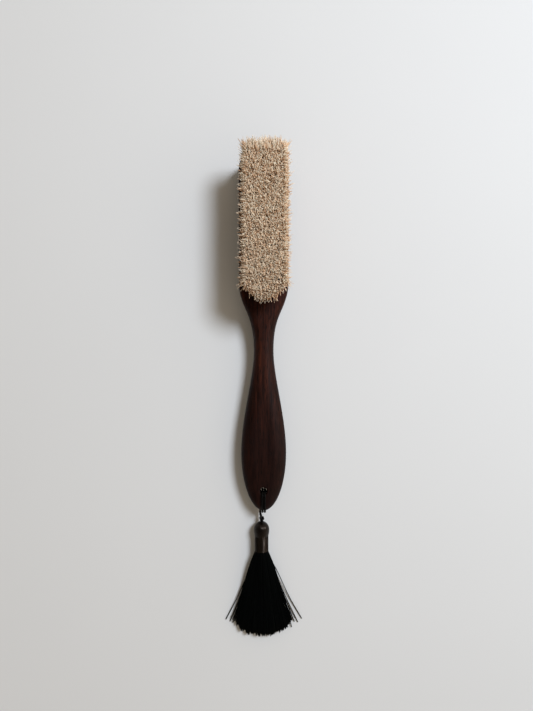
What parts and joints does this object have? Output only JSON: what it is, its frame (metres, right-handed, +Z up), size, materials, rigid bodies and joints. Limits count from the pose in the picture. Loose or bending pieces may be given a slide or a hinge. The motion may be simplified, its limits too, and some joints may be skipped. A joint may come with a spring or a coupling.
{
  "type": "clothes brush",
  "caption": "Long-handled hardwood clothes brush with natural bristle tufts drawn through the board, an inlaid back cover, and a thread tassel on a cord hitched through the handle.",
  "frame": {"origin": "under the middle of the wooden body, on the surface that the brush lies on", "axes": "+Y along the wood from the tassel end to the toe of the head, +Z up out of the bristle face, +X to the right of the head seen from above"},
  "size_m": [0.039, 0.3134, 0.038],
  "materials": {
    "wood": "oiled satin, very dark reddish brown",
    "bristle": "natural hair, pale beige",
    "wire": "drawn",
    "cord": "twisted black cord",
    "satin_thread": "black thread with a satin sheen",
    "skirt_thread": "loose black threads",
    "bead": "bare turned wood"
  },
  "bodies": {
    "brush": {"brush_body": "wood", "back_cover": "wood", "draw_wire_1": "wire", "draw_wire_2": "wire", "draw_wire_3": "wire", "draw_wire_4": "wire", "draw_wire_5": "wire", "bristle_bank_1": "bristle", "bristle_bank_2": "bristle", "bristle_bank_3": "bristle", "bristle_bank_4": "bristle", "hang_cord_hitch": "cord"},
    "cord_drop": {"hang_cord_drop": "cord"},
    "tassel": {"hang_cord_tail": "cord", "tassel_bead": "bead", "tassel_head_cover": "satin_thread", "tassel_neck_wrap": "satin_thread", "tassel_skirt": "skirt_thread"}
  },
  "joints": [
    {"name": "cord_swing", "type": "hinge", "parent": "brush", "child": "cord_drop", "pos_m": [-0.0023, -0.1184, 0.0034], "axis": [0, 0, 1], "range_deg": [-60, 50]},
    {"name": "tassel_lift", "type": "hinge", "parent": "cord_drop", "child": "tassel", "pos_m": [-0.0014, -0.1217, 0.00505], "axis": [-1, 0, 0], "range_deg": [-90, 55]}
  ]
}
